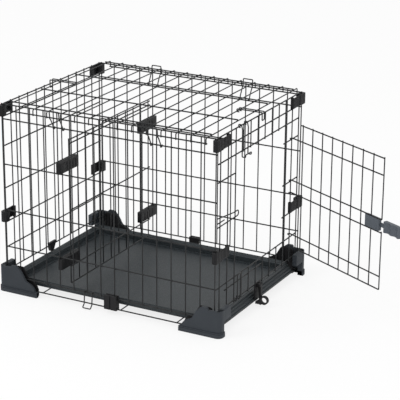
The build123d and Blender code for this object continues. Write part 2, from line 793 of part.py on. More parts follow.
with BuildPart() as header_hook:
    run = [
        (right_rail_x + 1.2, top_z - loop_curl),
        (right_rail_x - loop_curl, top_z - loop_curl),
        (right_rail_x - loop_curl, top_z + loop_curl),
        (right_rail_x + loop_curl, top_z + loop_curl),
        (loop_x, top_z - 9.0),
        (loop_x, loop_low),
        (loop_x + loop_tip_out, loop_low),
        (loop_x + loop_tip_out, loop_low + loop_tip_rise),
    ]
    points = [(x, loop_y - loop_half, z) for x, z in run]
    points += [(x, loop_y + loop_half, z) for x, z in reversed(run)]
    bend_wire(points, hook_bend, hook_d)
header_hook.part.label = "header_hook"
export_step(header_hook.part, "parts/header_hook.step")

# sill hook: stands up from the foot wire of the doorway wall
sill_hook_half = 8.0
sill_hook_y = (side_y(2) + side_y(3)) / 2 + 1.0
sill_hook_top = 120.0

with BuildPart() as sill_hook:
    run = [
        (right_rail_x + 1.2, foot_rail_z + loop_curl),
        (right_rail_x - loop_curl, foot_rail_z + loop_curl),
        (right_rail_x - loop_curl, foot_rail_z - loop_curl),
        (right_rail_x + loop_curl, foot_rail_z - loop_curl),
        (loop_x, foot_rail_z + 9.0),
        (loop_x, sill_hook_top),
    ]
    points = [(x, sill_hook_y - sill_hook_half, z) for x, z in run]
    points += [(x, sill_hook_y + sill_hook_half, z) for x, z in reversed(run)]
    bend_wire(points, hook_bend, hook_d)
sill_hook.part.label = "sill_hook"
export_step(sill_hook.part, "parts/sill_hook.step")

# floor hook: hangs from the bottom wire of the front wall past the floor wire
floor_hook_half = 11.0
floor_hook_x = front_x(6) + 2.5
floor_hook_low = 3.0
floor_pass = frame_y + rail_r + fit_gap + hook_r + 0.4

with BuildPart() as floor_hook:
    wall_y = half_depth - cross_step
    low_z = front_rails[0]
    run = [
        (wall_y - loop_curl, low_z - 1.5),
        (wall_y - loop_curl, low_z + loop_curl),
        (wall_y + loop_curl, low_z + loop_curl),
        (wall_y + loop_curl, low_z - 8.0),
        (floor_pass, frame_z + 4.0),
        (floor_pass, frame_z - 1.0),
        (floor_pass + 8.0, floor_hook_low),
    ]
    points = [(floor_hook_x - floor_hook_half, -y, z) for y, z in run]
    points += [(floor_hook_x + floor_hook_half, -y, z) for y, z in reversed(run)]
    bend_wire(points, hook_bend, hook_d)
floor_hook.part.label = "floor_hook"
export_step(floor_hook.part, "parts/floor_hook.step")

# clips in the middle of three sides, round the lowest wall wire
clip_t = 8.0


def floor_clip(name, x0, x1, z0, z1, sy, out):
    rail_y = half_depth - cross_step
    near = rail_y - rail_r - fit_gap - 2.5
    far = half_depth + out
    with BuildPart() as clip:
        with BuildSketch(Plane(origin=(x0, 0, 0), x_dir=(0, sy, 0), z_dir=(sy * 1.0, 0, 0))):
            with Locations(((near + far) / 2, (z0 + z1) / 2)):
                RectangleRounded(far - near, z1 - z0, 2.0)
            with Locations((rail_y, front_rails[0])):
                Circle(rail_r + fit_gap, mode=Mode.SUBTRACT)
            with Locations((frame_y, frame_z)):
                Circle(rail_r + fit_gap, mode=Mode.SUBTRACT)
            with Locations((half_depth - 0.2, front_rails[0] + 10)):
                Rectangle(wire_d + 2 * fit_gap + 0.4, 24.0, mode=Mode.SUBTRACT)
        extrude(amount=sy * (x1 - x0))
        with BuildSketch(Plane.XY.offset(z0)):
            with Locations(((x0 + x1) / 2, sy * far)):
                Rectangle(3.0, 4.0)
        extrude(amount=z1 - z0, mode=Mode.SUBTRACT)
    clip.part.label = name
    export_step(clip.part, "parts/" + name + ".step")


floor_clip("floor_clip_front", -7.0, 27.0, 11.0, 48.0, -1, 8.0)
floor_clip("floor_clip_back", -21.0, 8.0, 29.0, 45.0, 1, 6.0)

clip_left_y = -half_depth + 202.5
clip_left_half = 17.0
with BuildPart() as floor_clip_left:
    with BuildSketch(Plane.YZ.offset(left_rail_x - 3.6)):
        with BuildLine():
            Polyline(
                (clip_left_y - clip_left_half, foot_rail_z + 9.0),
                (clip_left_y + clip_left_half, foot_rail_z + 9.0),
                (clip_left_y + 4.0, foot_rail_z - 15.0),
                (clip_left_y - 7.0, foot_rail_z - 15.0),
                (clip_left_y - clip_left_half, foot_rail_z + 9.0),
            )
        make_face()
    extrude(amount=9.0)
    with BuildSketch(Plane.XZ.offset(-clip_left_y - clip_left_half)):
        with Locations((left_rail_x, foot_rail_z)):
            Circle(rail_r + fit_gap)
        with Locations((left_x, foot_rail_z + 10.0)):
            Rectangle(wire_d + 2 * fit_gap, 26.0 + 2 * fit_gap)
    extrude(amount=2 * clip_left_half, mode=Mode.SUBTRACT)
floor_clip_left.part.label = "floor_clip_left"
export_step(floor_clip_left.part, "parts/floor_clip_left.step")
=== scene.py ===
import json
import math

import bpy
from mathutils import Matrix, Vector


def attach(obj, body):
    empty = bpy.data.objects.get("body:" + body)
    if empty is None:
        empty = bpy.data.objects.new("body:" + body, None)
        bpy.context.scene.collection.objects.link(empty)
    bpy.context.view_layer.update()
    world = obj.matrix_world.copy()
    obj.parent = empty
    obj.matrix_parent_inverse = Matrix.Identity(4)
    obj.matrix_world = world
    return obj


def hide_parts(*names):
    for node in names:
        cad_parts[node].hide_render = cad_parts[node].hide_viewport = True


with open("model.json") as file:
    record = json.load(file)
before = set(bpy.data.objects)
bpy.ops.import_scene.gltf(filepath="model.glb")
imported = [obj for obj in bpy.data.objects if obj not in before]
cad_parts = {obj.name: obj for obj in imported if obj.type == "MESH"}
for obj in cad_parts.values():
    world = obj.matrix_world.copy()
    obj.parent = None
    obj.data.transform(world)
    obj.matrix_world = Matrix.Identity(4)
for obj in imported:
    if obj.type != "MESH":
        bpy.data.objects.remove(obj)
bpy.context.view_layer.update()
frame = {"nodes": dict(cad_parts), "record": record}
mm = 0.001


# small arithmetic wrapper round shader sockets
class Sig:
    def __init__(self, tree, socket):
        self.tree = tree
        self.socket = socket

    def node(self, kind, inputs=(), **settings):
        made = self.tree.nodes.new(kind)
        for key, value in settings.items():
            setattr(made, key, value)
        for key, value in dict(inputs).items():
            if isinstance(value, Sig):
                self.tree.links.new(value.socket, made.inputs[key])
            else:
                made.inputs[key].default_value = value
        return Sig(self.tree, made.outputs[0])

    def math(self, operation, other):
        return self.node("ShaderNodeMath", {0: self, 1: other}, operation=operation)

    def __add__(self, other):
        return self.math("ADD", other)

    def __mul__(self, other):
        return self.math("MULTIPLY", other)

    def clamp(self, low, high):
        return self.node("ShaderNodeMapRange", {0: self, 1: low, 2: high, 3: 0.0, 4: 1.0}, clamp=True)

    def blend(self, first, second):
        made = self.tree.nodes.new("ShaderNodeMix")
        made.data_type = "RGBA"
        self.tree.links.new(self.socket, made.inputs[0])
        made.inputs[6].default_value = (*first, 1.0)
        made.inputs[7].default_value = (*second, 1.0)
        return Sig(self.tree, made.outputs[2])


def noise(place, scale, detail=3.0):
    return place.node("ShaderNodeTexNoise", {"Vector": place, "Scale": scale, "Detail": detail})


def material(name):
    made = bpy.data.materials.new(name)
    made.use_nodes = True
    tree = made.node_tree
    shader = tree.nodes["Principled BSDF"]
    coords = tree.nodes.new("ShaderNodeTexCoord")
    return made, tree, shader, Sig(tree, coords.outputs["Object"])


def drive(tree, shader, **signals):
    for key, signal in signals.items():
        tree.links.new(signal.socket, shader.inputs[key.replace("_", " ")])


def bump(place, height, strength, distance):
    return place.node("ShaderNodeBump", {"Height": height, "Strength": strength, "Distance": distance})


# powder-coated wire: fine orange peel with slightly worn lighter patches
def coatedWire(name, dark, light, rough):
    made, tree, shader, place = material(name)
    patches = noise(place, 38.0)
    peel = noise(place, 1500.0, 2.0)
    tone = patches.clamp(0.35, 0.7).blend(dark, light)
    shine = patches * 0.12 + rough
    drive(tree, shader, Base_Color=tone, Roughness=shine, Normal=bump(place, peel, 0.25, 0.0002))
    shader.inputs["Specular IOR Level"].default_value = 0.25
    shader.inputs["Coat Weight"].default_value = 0.08
    shader.inputs["Coat Roughness"].default_value = 0.3
    return made


# moulded plastic: fine spark texture, faint flow marks, dust in the pores
def mouldedPlastic(name, dark, light, rough, grain=2600.0, depth=0.35, gloss=0.22):
    made, tree, shader, place = material(name)
    shader.inputs["Specular IOR Level"].default_value = gloss
    flow = noise(place, 9.0, 2.0)
    pores = noise(place, grain, 4.0)
    tone = (flow * 0.6 + pores * 0.4).clamp(0.35, 0.65).blend(dark, light)
    shine = flow * 0.14 + rough
    drive(tree, shader, Base_Color=tone, Roughness=shine, Normal=bump(place, pores, depth, 0.00025))
    return made


# tray: rows of small raised dots on the same moulded plastic
def dottedPlastic(name, dark, light, rough, pitch):
    made, tree, shader, place = material(name)
    shader.inputs["Specular IOR Level"].default_value = 0.3
    flow = noise(place, 9.0, 2.0)
    dots = place.node("ShaderNodeTexVoronoi", {"Vector": place, "Scale": 1.0 / pitch, "Randomness": 0.15})
    raised = dots.clamp(0.55, 0.2)
    tone = (raised * 0.75 + flow * 0.25).clamp(0.1, 0.9).blend(dark, light)
    shine = raised * -0.12 + rough
    drive(tree, shader, Base_Color=tone, Roughness=shine, Normal=bump(place, raised, 0.6, 0.0004))
    return made


wireLook = coatedWire("powderWire", (0.009, 0.010, 0.011), (0.018, 0.019, 0.020), 0.40)
hookLook = coatedWire("hookWire", (0.010, 0.011, 0.012), (0.022, 0.023, 0.024), 0.36)
clipLook = mouldedPlastic("clipBlack", (0.006, 0.006, 0.007), (0.012, 0.012, 0.013), 0.45)
footLook = mouldedPlastic("footSlate", (0.026, 0.031, 0.037), (0.038, 0.044, 0.052), 0.50)
# painted shade: the feet's ribbed inner wall gets the slate foot plastic darkened to near-black, standing in
# for the shadow it lies in
shadedRibLook = mouldedPlastic("ribPaintedShade", (0.004, 0.004, 0.005), (0.009, 0.009, 0.010), 0.52)
trayLook = dottedPlastic("traySlate", (0.018, 0.023, 0.026), (0.050, 0.060, 0.066), 0.48, 4.2 * mm)
latchLook = mouldedPlastic("latchGrey", (0.075, 0.086, 0.102), (0.100, 0.113, 0.130), 0.42)

slotLooks = {
    "wire_coated": wireLook,
    "hook_wire": hookLook,
    "clip_plastic": clipLook,
    "foot_plastic": footLook,
    "tray_plastic": trayLook,
    "latch_grey": latchLook,
}
slotOf = {part["node"]: part["material_slot"] for part in frame["record"]["subparts"]}
for nodeName, node in frame["nodes"].items():
    node.data.materials.clear()
    node.data.materials.append(slotLooks[slotOf[nodeName]])
print("materials made", len(slotLooks))


# mesh building steps shared by the pieces
def deselect():
    if bpy.context.object and bpy.context.object.mode != "OBJECT":
        bpy.ops.object.mode_set(mode="OBJECT")
    bpy.ops.object.select_all(action="DESELECT")


def pick(objs):
    deselect()
    for o in objs:
        o.select_set(True)
    bpy.context.view_layer.objects.active = objs[0]


def apply(obj):
    pick([obj])
    bpy.ops.object.transform_apply(location=True, rotation=True, scale=True)


def addArray(obj, count, step):
    pick([obj])
    array = obj.modifiers.new("row", "ARRAY")
    array.count = count
    array.use_relative_offset = False
    array.use_constant_offset = True
    array.constant_offset_displace = step
    bpy.ops.object.modifier_apply(modifier=array.name)
    return obj


def bevel(obj, width, segments=2, angle=30.0):
    pick([obj])
    mod = obj.modifiers.new("edge", "BEVEL")
    mod.width = width
    mod.segments = segments
    mod.limit_method = "ANGLE"
    mod.angle_limit = math.radians(angle)
    bpy.ops.object.modifier_apply(modifier=mod.name)
    return obj


def cut(obj, tool, operation="DIFFERENCE"):
    pick([obj])
    mod = obj.modifiers.new("cut", "BOOLEAN")
    mod.operation = operation
    mod.object = tool
    mod.solver = "EXACT"
    bpy.ops.object.modifier_apply(modifier=mod.name)
    bpy.data.objects.remove(tool, do_unlink=True)
    return obj


def rod(start, end, radius, sides=14):
    deselect()
    a = Vector(start)
    b = Vector(end)
    bpy.ops.mesh.primitive_cylinder_add(vertices=sides, radius=radius, depth=(b - a).length)
    made = bpy.context.object
    turn = Vector((0, 0, 1)).rotation_difference((b - a).normalized())
    made.matrix_world = Matrix.Translation((a + b) / 2) @ turn.to_matrix().to_4x4()
    apply(made)
    bevel(made, radius * 0.35, 2, 50.0)
    return made


def nugget(place, size):
    deselect()
    bpy.ops.mesh.primitive_uv_sphere_add(segments=8, ring_count=5, radius=1.0, location=place)
    made = bpy.context.object
    made.scale = size
    apply(made)
    return made


def fillet(points, bend, steps=5):
    out = [Vector(points[0])]
    for i in range(1, len(points) - 1):
        corner = Vector(points[i])
        before = Vector(points[i - 1]) - corner
        after = Vector(points[i + 1]) - corner
        half = before.angle(after) / 2
        reach = min(bend / math.tan(half), before.length * 0.5, after.length * 0.5)
        start = corner + before.normalized() * reach
        end = corner + after.normalized() * reach
        centre = corner + (before.normalized() + after.normalized()).normalized() * (reach / math.cos(half))
        first = start - centre
        last = end - centre
        sweep = first.angle(last)
        for n in range(steps + 1):
            share = n / steps
            spot = first * math.sin((1 - share) * sweep) + last * math.sin(share * sweep)
            out.append(centre + spot / math.sin(sweep))
    out.append(Vector(points[-1]))
    return out


def bentRod(points, bend, radius, sides=2):
    deselect()
    bpy.ops.curve.primitive_nurbs_path_add()
    made = bpy.context.object
    curve = made.data
    curve.splines.clear()
    run = fillet(points, bend)
    spline = curve.splines.new("POLY")
    spline.points.add(len(run) - 1)
    for point, place in zip(spline.points, run):
        point.co = (*place, 1.0)
    curve.dimensions = "3D"
    curve.bevel_depth = radius
    curve.bevel_resolution = sides
    curve.use_fill_caps = True
    bpy.ops.object.convert(target="MESH")
    made = bpy.context.object
    bevel(made, radius * 0.35, 2, 70.0)
    return made


def slab(points, low, high, turn=None):
    deselect()
    bpy.ops.mesh.primitive_circle_add(vertices=len(points), radius=1.0, fill_type="NGON")
    made = bpy.context.object
    for vertex, (u, v) in zip(made.data.vertices, points):
        vertex.co = (u, v, low)
    bpy.ops.object.mode_set(mode="EDIT")
    bpy.ops.mesh.select_all(action="SELECT")
    bpy.ops.mesh.extrude_region_move(TRANSFORM_OT_translate={"value": (0, 0, high - low)})
    bpy.ops.mesh.select_all(action="SELECT")
    bpy.ops.mesh.normals_make_consistent(inside=False)
    bpy.ops.object.mode_set(mode="OBJECT")
    if turn:
        made.data.transform(turn)
    return made


def softOutline(points, bend):
    corners = [Vector((u, v, 0.0)) for u, v in points]
    start = (corners[0] + corners[-1]) / 2
    run = fillet([start] + corners + [start], bend)
    return [(p.x, p.y) for p in run[:-1]]


def block(low, high):
    deselect()
    bpy.ops.mesh.primitive_cube_add(size=1.0)
    made = bpy.context.object
    made.scale = [b - a for a, b in zip(low, high)]
    made.location = [(a + b) / 2 for a, b in zip(low, high)]
    apply(made)
    return made


def joined(parts):
    pick(parts)
    if len(parts) > 1:
        bpy.ops.object.join()
    return bpy.context.object


def mirrored(obj, sx, sy, lift=0.0):
    twin = obj.copy()
    twin.data = obj.data.copy()
    bpy.context.scene.collection.objects.link(twin)
    twin.data.transform(Matrix.Translation((0, 0, lift)) @ Matrix.Diagonal((sx, sy, 1.0, 1.0)))
    if sx * sy < 0:
        twin.data.flip_normals()
    return twin


def discard(obj):
    bpy.data.objects.remove(obj, do_unlink=True)


def arc(x, y, radius, angles):
    turns = [math.radians(angle) for angle in angles]
    return [(x + radius * math.cos(turn), y + radius * math.sin(turn)) for turn in turns]


# stands a flat outline up, so that its second measure points up and its depth runs along y
upTurn = Matrix.Rotation(math.radians(90), 4, "X")


def finishPiece(parts, name, look, body, *nodes):
    made = joined(parts)
    made.name = name
    made.data.name = name
    made.data.materials.clear()
    made.data.materials.append(look)
    pick([made])
    bpy.ops.object.transform_apply(location=True, rotation=True, scale=True)
    bpy.ops.object.shade_smooth_by_angle(angle=math.radians(42))
    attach(made, body)
    if nodes:
        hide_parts(*nodes)
    return made


# sizes shared by the cage's pieces
cage = {
    "wireR": 1.5 * mm,
    "railR": 1.7 * mm,
    "cross": 3.25 * mm,
    "frontPitch": 39.0 * mm,
    "sidePitch": 38.5 * mm,
    "halfDepth": 230.25 * mm,
    "sideX": 294.5 * mm,
    "topZ": 486.7 * mm,
}
wireR = cage["wireR"]
railR = cage["railR"]
cross = cage["cross"]
halfDepth = cage["halfDepth"]
sideX = cage["sideX"]
topZ = cage["topZ"]


def frontX(k):
    return (k - 7.5) * cage["frontPitch"]


def sideY(i):
    return (i - 5.5) * cage["sidePitch"]


# weld beads at the wire crossings: half sizes for each way that the level wire runs
bead = {
    "alongX": (2.1 * mm, 1.3 * mm, 2.0 * mm),
    "alongY": (1.3 * mm, 2.1 * mm, 1.6 * mm),
    "roofLip": (1.9 * mm, 1.3 * mm, 1.6 * mm),
    "roofRail": (1.9 * mm, 2.0 * mm, 1.3 * mm),
    "door": (2.1 * mm, 1.3 * mm, 1.5 * mm),
    "floor": (2.1 * mm, 1.4 * mm, 1.6 * mm),
    "inner": 0.45,
    "outer": 0.55,
    "endSquash": 0.82,
}

# long walls with a weld bead at every crossing
longWall = {"rails": [39.0, 117.5, 214.0, 333.0, 449.0, 486.7], "over": 3.0 * mm, "count": 16}


def makeLongWall(name, side, node):
    y = side * halfDepth
    levelY = y - side * cross
    rails = longWall["rails"]
    count = longWall["count"]
    step = (cage["frontPitch"], 0, 0)
    low = rails[0] * mm - railR
    parts = [addArray(rod((frontX(0), y, low), (frontX(0), y, topZ + railR), wireR), count, step)]
    for height in rails:
        z = height * mm
        end = frontX(count - 1) + longWall["over"]
        parts.append(rod((-end, levelY, z), (end, levelY, z), railR))
        spot = nugget((frontX(0), y - side * cross * bead["inner"], z), bead["alongX"])
        if height in (rails[0], rails[-1]):
            spot.data.transform(Matrix.Translation((0, 0, -z)))
            spot.data.transform(Matrix.Scale(bead["endSquash"], 4, (0, 0, 1)))
            spot.data.transform(Matrix.Translation((0, 0, z)))
        parts.append(addArray(spot, count, step))
    return finishPiece(parts, name, wireLook, "frame", node)


makeLongWall("frontWall", -1, "front_panel")
makeLongWall("backWall", 1, "back_panel")
print("long walls done")

# end walls: level wires inside the uprights
endWall = {
    "rails": [55.0, 116.0, 182.0, 271.0, 380.0, 455.0, 486.7],
    "low": 52.0 * mm,
    "reach": 217.25 * mm,
    "count": 12,
}


def crossBeads(ys, zs):
    inside = sideX - cross * bead["inner"]
    return [nugget((inside, y, z), bead["alongY"]) for z in zs for y in ys]


def railY(x, y0, y1, z, radius=railR):
    return rod((x, y0, z), (x, y1, z), radius)


leftWall = {"x": -sideX - 3.5 * mm, "count": 13, "corner": 4.0 * mm, "reach": 223.9 * mm}
leftX = leftWall["x"]
leftFirst = -halfDepth + leftWall["corner"]
leftPitch = -2 * leftFirst / (leftWall["count"] - 1)
leftUpright = rod((leftX, leftFirst, endWall["low"]), (leftX, leftFirst, topZ + railR), wireR)
leftParts = [addArray(leftUpright, leftWall["count"], (0, leftPitch, 0))]
for height in endWall["rails"]:
    leftParts.append(railY(leftX + cross, -leftWall["reach"], leftWall["reach"], height * mm))
    spot = nugget((leftX + cross * bead["inner"], leftFirst + leftPitch, height * mm), bead["alongY"])
    leftParts.append(addArray(spot, leftWall["count"] - 2, (0, leftPitch, 0)))
finishPiece(leftParts, "leftWall", wireLook, "frame", "left_panel")

doorway = {
    "header": 422.7 * mm,
    "sill": 115.0 * mm,
    "first": 2,
    "last": 9,
    "fullRails": [55.0, 115.0, 422.7, 455.0, 486.7],
    "partRails": [182.0, 266.5, 376.5],
    "upper": 377.7 * mm,
    "brace": 99.0 * mm,
    "keeper": [267.7, 278.0, 290.7],
    "keeperDrop": 9.7 * mm,
    "keeperEnd": 101.5 * mm,
    "keeperBend": 6.0 * mm,
    "keeperTail": 10.0 * mm,
    "braceTail": 6.0 * mm,
}
rightRail = sideX - cross
rightParts = []
for i in range(endWall["count"]):
    y = sideY(i)
    if doorway["first"] < i < doorway["last"]:
        rightParts.append(rod((sideX, y, endWall["low"]), (sideX, y, doorway["sill"] + railR), wireR))
        rightParts.append(rod((sideX, y, doorway["header"] - railR), (sideX, y, topZ + railR), wireR))
    else:
        rightParts.append(rod((sideX, y, endWall["low"]), (sideX, y, topZ + railR), wireR))
reach = endWall["reach"]
for height in doorway["fullRails"]:
    rightParts.append(railY(rightRail, -reach, reach, height * mm))
    spot = nugget((sideX - cross * bead["inner"], sideY(0), height * mm), bead["alongY"])
    rightParts.append(addArray(spot, endWall["count"], (0, cage["sidePitch"], 0)))
for height in doorway["partRails"]:
    rightParts.append(railY(rightRail, sideY(doorway["last"]) - wireR, reach, height * mm))
    rightParts += crossBeads([sideY(9), sideY(10), sideY(11)], [height * mm])
rightParts.append(railY(rightRail, -reach, sideY(doorway["first"]) + wireR, doorway["upper"]))
rightParts.append(railY(rightRail, sideY(1) - doorway["braceTail"], sideY(6), doorway["brace"]))
keeper = [height * mm for height in doorway["keeper"]]
rightParts.append(railY(rightRail, -reach, sideY(1) - doorway["keeperTail"], keeper[1], wireR))
keeperEnd = sideY(0) + doorway["keeperEnd"]
keeperRun = [
    (rightRail, -reach, keeper[2]),
    (rightRail, sideY(doorway["first"]), keeper[2] - doorway["keeperDrop"]),
    (rightRail, keeperEnd, keeper[2] - doorway["keeperDrop"]),
    (rightRail, keeperEnd, keeper[0]),
    (rightRail, -reach, keeper[0]),
]
rightParts.append(bentRod(keeperRun, doorway["keeperBend"], wireR))
rightParts += crossBeads([sideY(0), sideY(1), sideY(2)], [doorway["upper"], keeper[0]])
rightParts += crossBeads([sideY(i) for i in range(1, 7)], [doorway["brace"]])
finishPiece(rightParts, "rightWall", wireLook, "frame", "right_panel")
print("end walls done")

# roof: wires bent down to a lip at both long edges
roof = {
    "lipZ": 476.5 * mm,
    "over": 14.0 * mm,
    "yz": (486.7 + 1.7 + 1.5 + 0.35) * mm,
    "bend": 4.0 * mm,
    "count": 15,
    "rails": [-halfDepth + 10.5 * mm, -halfDepth + 143 * mm, -halfDepth + 302 * mm, halfDepth - 10.5 * mm],
    "beadIn": 0.6 * mm,
    "beadStep": cage["frontPitch"] - 0.085 * mm,
}
roofY = halfDepth + roof["over"]
lipY = roofY - cross
roofXz = roof["yz"] + cross


def roofX(k):
    return (k - 7) * cage["frontPitch"]


roofRun = [
    (roofX(0), -roofY, roof["lipZ"] - railR),
    (roofX(0), -roofY, roof["yz"]),
    (roofX(0), roofY, roof["yz"]),
    (roofX(0), roofY, roof["lipZ"] - railR),
]
roofParts = [addArray(bentRod(roofRun, roof["bend"], wireR), roof["count"], (cage["frontPitch"], 0, 0))]
roofEnd = 7 * cage["frontPitch"] + wireR
beadX = roofX(0) + roof["beadIn"]
for y in (-lipY, lipY):
    roofParts.append(rod((-roofEnd, y, roof["lipZ"]), (roofEnd, y, roof["lipZ"]), railR))
    side = 1 if y > 0 else -1
    spot = nugget((beadX, y + side * cross * bead["outer"], roof["lipZ"]), bead["roofLip"])
    roofParts.append(addArray(spot, roof["count"], (roof["beadStep"], 0, 0)))
for y in roof["rails"]:
    roofParts.append(rod((-roofEnd, y, roofXz), (roofEnd, y, roofXz), railR))
    spot = nugget((beadX, y, roofXz - cross * bead["inner"]), bead["roofRail"])
    roofParts.append(addArray(spot, roof["count"], (roof["beadStep"], 0, 0)))
finishPiece(roofParts, "roofGrid", wireLook, "roof", "roof_panel")

# divider beside the fifth upright of the long walls
divider = {
    "x": frontX(4) + 7.5 * mm,
    "count": 11,
    "rails": [41.5, 86.0, 232.5, 403.0, 413.0],
    "over": 3.0 * mm,
}


def dividerY(i):
    return (i - 5) * cage["sidePitch"]


dividerLow = divider["rails"][0] * mm - railR
dividerHigh = divider["rails"][-1] * mm + railR
dividerStep = (0, cage["sidePitch"], 0)
firstUpright = rod((divider["x"], dividerY(0), dividerLow), (divider["x"], dividerY(0), dividerHigh), wireR)
dividerParts = [addArray(firstUpright, divider["count"], dividerStep)]
end = dividerY(divider["count"] - 1) + divider["over"]
for height in divider["rails"]:
    dividerParts.append(railY(divider["x"] + cross, -end, end, height * mm))
    spot = nugget((divider["x"] + cross * bead["outer"], dividerY(0), height * mm), bead["alongY"])
    dividerParts.append(addArray(spot, divider["count"], dividerStep))
finishPiece(dividerParts, "dividerGrid", wireLook, "frame", "divider_panel")
print("roof and divider done")

# hooks, all bent from one wire
hook = {"r": 1.5 * mm, "bend": 2.2 * mm, "curl": 3.6 * mm}


def loopHook(name, node, body, run, half, axis, centre):
    def at(u, z, shift):
        return (u, centre + shift, z) if axis == "y" else (centre + shift, u, z)

    points = [at(u, z, -half) for u, z in run]
    points += [at(u, z, half) for u, z in reversed(run)]
    return finishPiece([bentRod(points, hook["bend"], hook["r"], 3)], name, hookLook, body, node)


roofHook = {
    "half": 13.25 * mm,
    "x": 134.0 * mm,
    "railZ": 449.0 * mm,
    "gap": 0.4 * mm,
    "tab": (2.0 * mm, 18.0 * mm),
}
hookPass = lipY + railR + roofHook["gap"] + hook["r"] + roofHook["gap"]
wallY = halfDepth - cross
railZ = roofHook["railZ"]
tabOut, tabRise = roofHook["tab"]
for sideName, centre in (("left", -roofHook["x"]), ("right", roofHook["x"])):
    for wallName, side in (("front", -1), ("back", 1)):
        run = [
            (wallY - hook["curl"], railZ + 1.5 * mm),
            (wallY - hook["curl"], railZ - hook["curl"]),
            (wallY + hook["curl"], railZ - hook["curl"]),
            (wallY + hook["curl"], railZ + 4 * mm),
            (lipY - 0.75 * mm, roof["lipZ"] - 5.8 * mm),
            (hookPass, roof["lipZ"] - 1 * mm),
            (hookPass, roof["lipZ"] + 4 * mm),
            (hookPass + tabOut, roof["lipZ"] + tabRise),
        ]
        run = [(side * u, z) for u, z in run]
        node = "roof_hook_" + wallName + "_" + sideName
        pieceName = "roofHook" + wallName.title() + sideName.title()
        loopHook(pieceName, node, node + "_body", run, roofHook["half"], "x", centre)

sideHook = {
    "half": 6.0 * mm,
    "curl": 3.4 * mm,
    "x": 234.0 * mm,
    "low": 474.0 * mm,
    "end": {"left": 301.4 * mm, "right": 297.9 * mm},
}
curl = sideHook["curl"]
for sideName, side in (("left", -1), ("right", 1)):
    run = [
        (sideHook["x"] + curl - 0.6 * mm, roof["yz"] - curl),
        (sideHook["x"] - curl, roof["yz"] - curl),
        (sideHook["x"] - curl, roof["yz"] + curl),
        (sideHook["end"][sideName], roof["yz"] + curl),
        (sideHook["end"][sideName], sideHook["low"]),
    ]
    run = [(side * u, z) for u, z in run]
    node = "side_hook_" + sideName
    loopHook("sideHook" + sideName.title(), node, node + "_body", run, sideHook["half"], "y", 0.0)

# header and sill hooks hang on the end wall and hold the door when it is shut
loopX = 297.9 * mm
headerHook = {
    "half": 15.0 * mm,
    "y": sideY(3) + 2 * mm,
    "low": 412.0 * mm,
    "tip": (9.0 * mm, 6.0 * mm),
}
tipOut, tipRise = headerHook["tip"]
run = [
    (rightRail + 1.2 * mm, topZ - hook["curl"]),
    (rightRail - hook["curl"], topZ - hook["curl"]),
    (rightRail - hook["curl"], topZ + hook["curl"]),
    (rightRail + hook["curl"], topZ + hook["curl"]),
    (loopX, topZ - 9 * mm),
    (loopX, headerHook["low"]),
    (loopX + tipOut, headerHook["low"]),
    (loopX + tipOut, headerHook["low"] + tipRise),
]
loopHook("headerHook", "header_hook", "header_hook_body", run, headerHook["half"], "y", headerHook["y"])

sillHook = {"half": 8.0 * mm, "y": (sideY(2) + sideY(3)) / 2 + mm, "z": 55.0 * mm, "top": 120.0 * mm}
run = [
    (rightRail + 1.2 * mm, sillHook["z"] + hook["curl"]),
    (rightRail - hook["curl"], sillHook["z"] + hook["curl"]),
    (rightRail - hook["curl"], sillHook["z"] - hook["curl"]),
    (rightRail + hook["curl"], sillHook["z"] - hook["curl"]),
    (loopX, sillHook["z"] + 9 * mm),
    (loopX, sillHook["top"]),
]
loopHook("sillHook", "sill_hook", "sill_hook_body", run, sillHook["half"], "y", sillHook["y"])

floorHook = {
    "half": 11.0 * mm,
    "x": frontX(6) + 2.5 * mm,
    "z": 39.0 * mm,
    "tip": (8.0 * mm, 3.0 * mm),
    "wire": (halfDepth - 2 * mm, 12.5 * mm),
}
tipOut, tipZ = floorHook["tip"]
wireY, wireZ = floorHook["wire"]
floorPass = wireY + railR + 0.8 * mm + hook["r"]
run = [
    (wallY - hook["curl"], floorHook["z"] - 1.5 * mm),
    (wallY - hook["curl"], floorHook["z"] + hook["curl"]),
    (wallY + hook["curl"], floorHook["z"] + hook["curl"]),
    (wallY + hook["curl"], floorHook["z"] - 8 * mm),
    (floorPass, wireZ + 4 * mm),
    (floorPass, wireZ - 1 * mm),
    (floorPass + tipOut, tipZ),
]
run = [(-u, z) for u, z in run]
loopHook("floorHook", "floor_hook", "floor_hook_body", run, floorHook["half"], "x", floorHook["x"])
print("hooks done")

# floor frame of straight rods joined at the crossings
floorFrame = {
    "x": 292.0 * mm,
    "y": 228.25 * mm,
    "z": 12.5 * mm,
    "cross": [-190.0, 34.0, 190.0],
    "gap": 0.05 * mm,
    "beadIn": (0.6 * mm, 0.2 * mm),
}
fx = floorFrame["x"]
fy = floorFrame["y"]
fz = floorFrame["z"]
floorReach = fy - railR - floorFrame["gap"]
beadInX, beadInY = floorFrame["beadIn"]
floorParts = [rod((-fx - railR, y, fz), (fx + railR, y, fz), railR) for y in (-fy, fy)]
floorParts += [railY(x, -floorReach, floorReach, fz) for x in (-fx, fx)]
floorParts += [railY(x * mm, -floorReach, floorReach, fz, wireR) for x in floorFrame["cross"]]
for x in [-fx + beadInX, fx - beadInX] + [v * mm for v in floorFrame["cross"]]:
    for side in (-1, 1):
        floorParts.append(nugget((x, side * (floorReach - beadInY), fz), bead["floor"]))
finishPiece(floorParts, "floorGrid", wireLook, "frame", "floor_frame")

